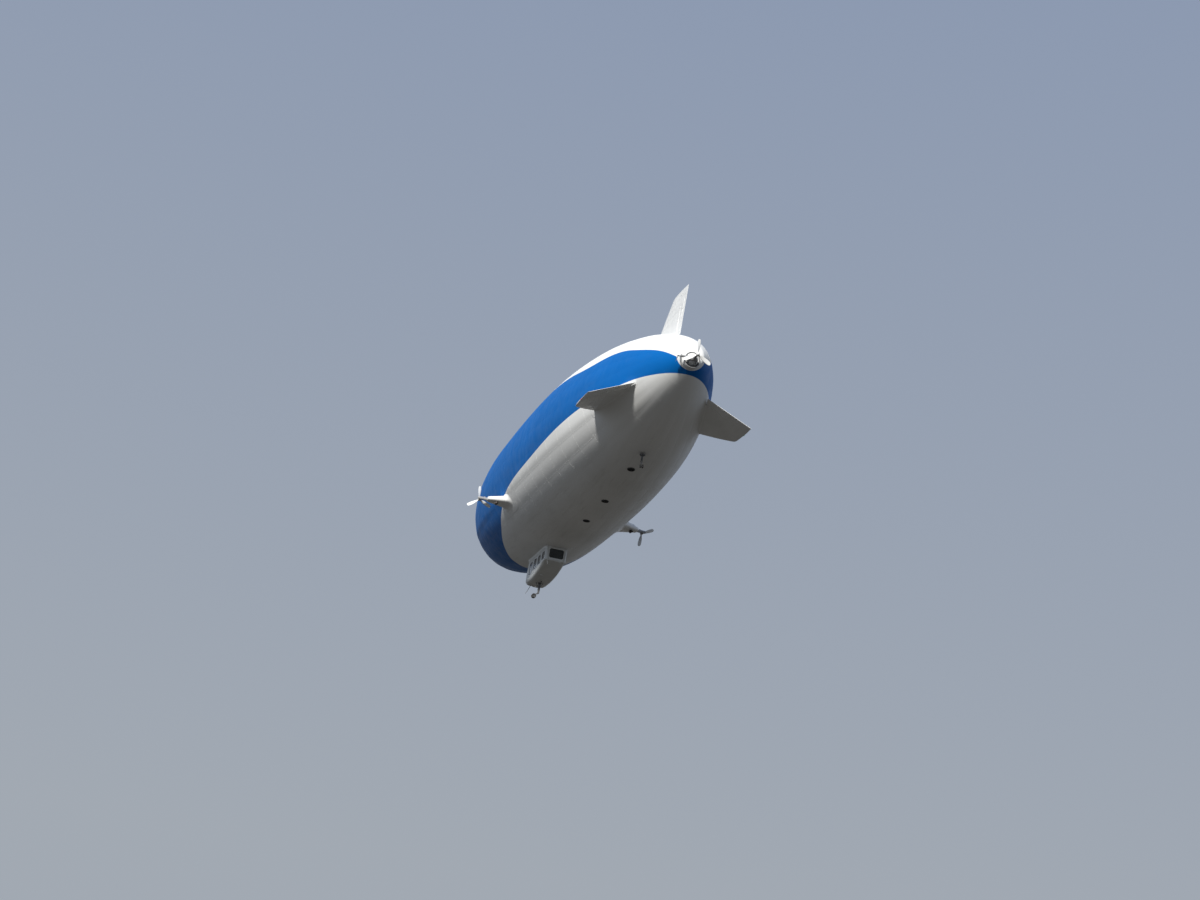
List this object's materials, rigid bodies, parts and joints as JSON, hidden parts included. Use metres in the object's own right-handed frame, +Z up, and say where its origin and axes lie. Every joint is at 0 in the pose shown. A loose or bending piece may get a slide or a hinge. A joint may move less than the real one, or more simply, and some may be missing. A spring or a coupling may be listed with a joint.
{
  "type": "semi-rigid advertising airship",
  "caption": "Helium airship with a long white hull and blue side bands, tail fins, swivelling side and tail propellers and a glazed cabin below.",
  "frame": {"origin": "lift point on the hull's axis, at the centre of the hull's volume, in the air", "axes": "+Y aft along the hull, +X to port, +Z up"},
  "size_m": [9.6455, 37.87, 9.4675],
  "materials": {
    "envelope_fabric": "coated laminate, white above and below a blue side band",
    "blue_shell": "satin blue",
    "white_shell": "satin white composite",
    "grey_metal": "satin grey paint",
    "bare_metal": "satin",
    "engine_metal": "matt dark",
    "dark_plastic": "matt",
    "floor_panel": "matt",
    "glazing": "tinted",
    "seat_fabric": "woven",
    "tyre_rubber": "black rubber"
  },
  "bodies": {
    "airframe": {"envelope": "envelope_fabric", "nose_cone": "blue_shell", "tail_cone": "white_shell", "top_fin": "white_shell", "port_fin": "white_shell", "starboard_fin": "white_shell", "port_engine_pod": "white_shell", "starboard_engine_pod": "white_shell", "gondola_shell": "white_shell", "stern_cowl": "grey_metal", "main_gear_leg": "grey_metal", "tail_gear_leg": "grey_metal", "mooring_probe": "bare_metal", "port_engine_block": "engine_metal", "starboard_engine_block": "engine_metal", "tail_engine_block": "engine_metal", "instrument_panel": "dark_plastic", "belly_valve_forward": "dark_plastic", "belly_valve_middle": "dark_plastic", "belly_valve_aft": "dark_plastic", "cabin_floor": "floor_panel", "windshield": "glazing", "rear_window": "glazing", "port_window_1": "glazing", "port_window_2": "glazing", "port_window_3": "glazing", "starboard_window_1": "glazing", "starboard_window_2": "glazing", "starboard_window_3": "glazing", "starboard_window_4": "glazing", "pilot_seats": "seat_fabric", "passenger_seats": "seat_fabric"},
    "top_rudder_body": {"top_rudder": "white_shell"},
    "port_flap_body": {"port_tail_flap": "white_shell"},
    "starboard_flap_body": {"starboard_tail_flap": "white_shell"},
    "port_swivel": {"port_swivel_gearbox": "grey_metal"},
    "port_rotor": {"port_propeller": "white_shell"},
    "starboard_swivel": {"starboard_swivel_gearbox": "grey_metal"},
    "starboard_rotor": {"starboard_propeller": "white_shell"},
    "tail_swivel": {"tail_gearbox": "bare_metal"},
    "tail_rotor": {"tail_propeller": "white_shell"},
    "lateral_rotor": {"lateral_propeller": "white_shell"},
    "door": {"passenger_door": "white_shell", "door_window": "glazing"},
    "main_castor": {"main_gear_castor": "grey_metal"},
    "main_wheels": {"main_gear_wheels": "tyre_rubber"},
    "tail_castor": {"tail_gear_castor": "grey_metal"},
    "tail_wheels": {"tail_gear_wheels": "tyre_rubber"}
  },
  "joints": [
    {"name": "top_rudder_hinge", "type": "hinge", "parent": "airframe", "child": "top_rudder_body", "pos_m": [0, 16.75, 2.5], "axis": [0, 0, 1], "range_deg": [-25, 25]},
    {"name": "port_flap_hinge", "type": "hinge", "parent": "airframe", "child": "port_flap_body", "pos_m": [2.24699, 16.75, -1.09593], "axis": [0.8988, 0, -0.4384], "range_deg": [-25, 25]},
    {"name": "starboard_flap_hinge", "type": "hinge", "parent": "airframe", "child": "starboard_flap_body", "pos_m": [-2.24699, 16.75, -1.09593], "axis": [-0.8988, 0, -0.4384], "range_deg": [-25, 25]},
    {"name": "port_engine_swivel", "type": "hinge", "parent": "airframe", "child": "port_swivel", "pos_m": [4, -1.505, -1.85], "axis": [-1, 0, 0], "range_deg": [-30, 90]},
    {"name": "port_propeller_spin", "type": "hinge", "parent": "port_swivel", "child": "port_rotor", "pos_m": [4.23, -1.865, -1.85], "axis": [0, 1, 0], "continuous": true},
    {"name": "starboard_engine_swivel", "type": "hinge", "parent": "airframe", "child": "starboard_swivel", "pos_m": [-4, -1.505, -1.85], "axis": [-1, 0, 0], "range_deg": [-30, 90]},
    {"name": "starboard_propeller_spin", "type": "hinge", "parent": "starboard_swivel", "child": "starboard_rotor", "pos_m": [-4.23, -1.865, -1.85], "axis": [0, 1, 0], "continuous": true},
    {"name": "tail_engine_swivel", "type": "hinge", "parent": "airframe", "child": "tail_swivel", "pos_m": [0, 19.975, -0.24], "axis": [-1, 0, 0], "range_deg": [0, 90]},
    {"name": "tail_propeller_spin", "type": "hinge", "parent": "tail_swivel", "child": "tail_rotor", "pos_m": [0, 20.5, -0.24], "axis": [0, 1, 0], "continuous": true},
    {"name": "lateral_propeller_spin", "type": "hinge", "parent": "airframe", "child": "lateral_rotor", "pos_m": [0.625, 19.975, -0.24], "axis": [1, 0, 0], "continuous": true},
    {"name": "door_hinge", "type": "hinge", "parent": "airframe", "child": "door", "pos_m": [0.575, -4.23, -4.075], "axis": [0, 0, -1], "range_deg": [0, 95]},
    {"name": "main_castor_swivel", "type": "hinge", "parent": "airframe", "child": "main_castor", "pos_m": [0, -4.7, -5.3], "axis": [0, 0, 1], "continuous": true},
    {"name": "main_wheel_spin", "type": "hinge", "parent": "main_castor", "child": "main_wheels", "pos_m": [0.21, -4.7, -5.5], "axis": [0, 1, 0], "continuous": true},
    {"name": "tail_castor_swivel", "type": "hinge", "parent": "airframe", "child": "tail_castor", "pos_m": [0, 13.8, -3.025], "axis": [0, 0, 1], "continuous": true},
    {"name": "tail_wheel_spin", "type": "hinge", "parent": "tail_castor", "child": "tail_wheels", "pos_m": [0, 13.93, -3.13], "axis": [1, 0, 0], "continuous": true}
  ]
}
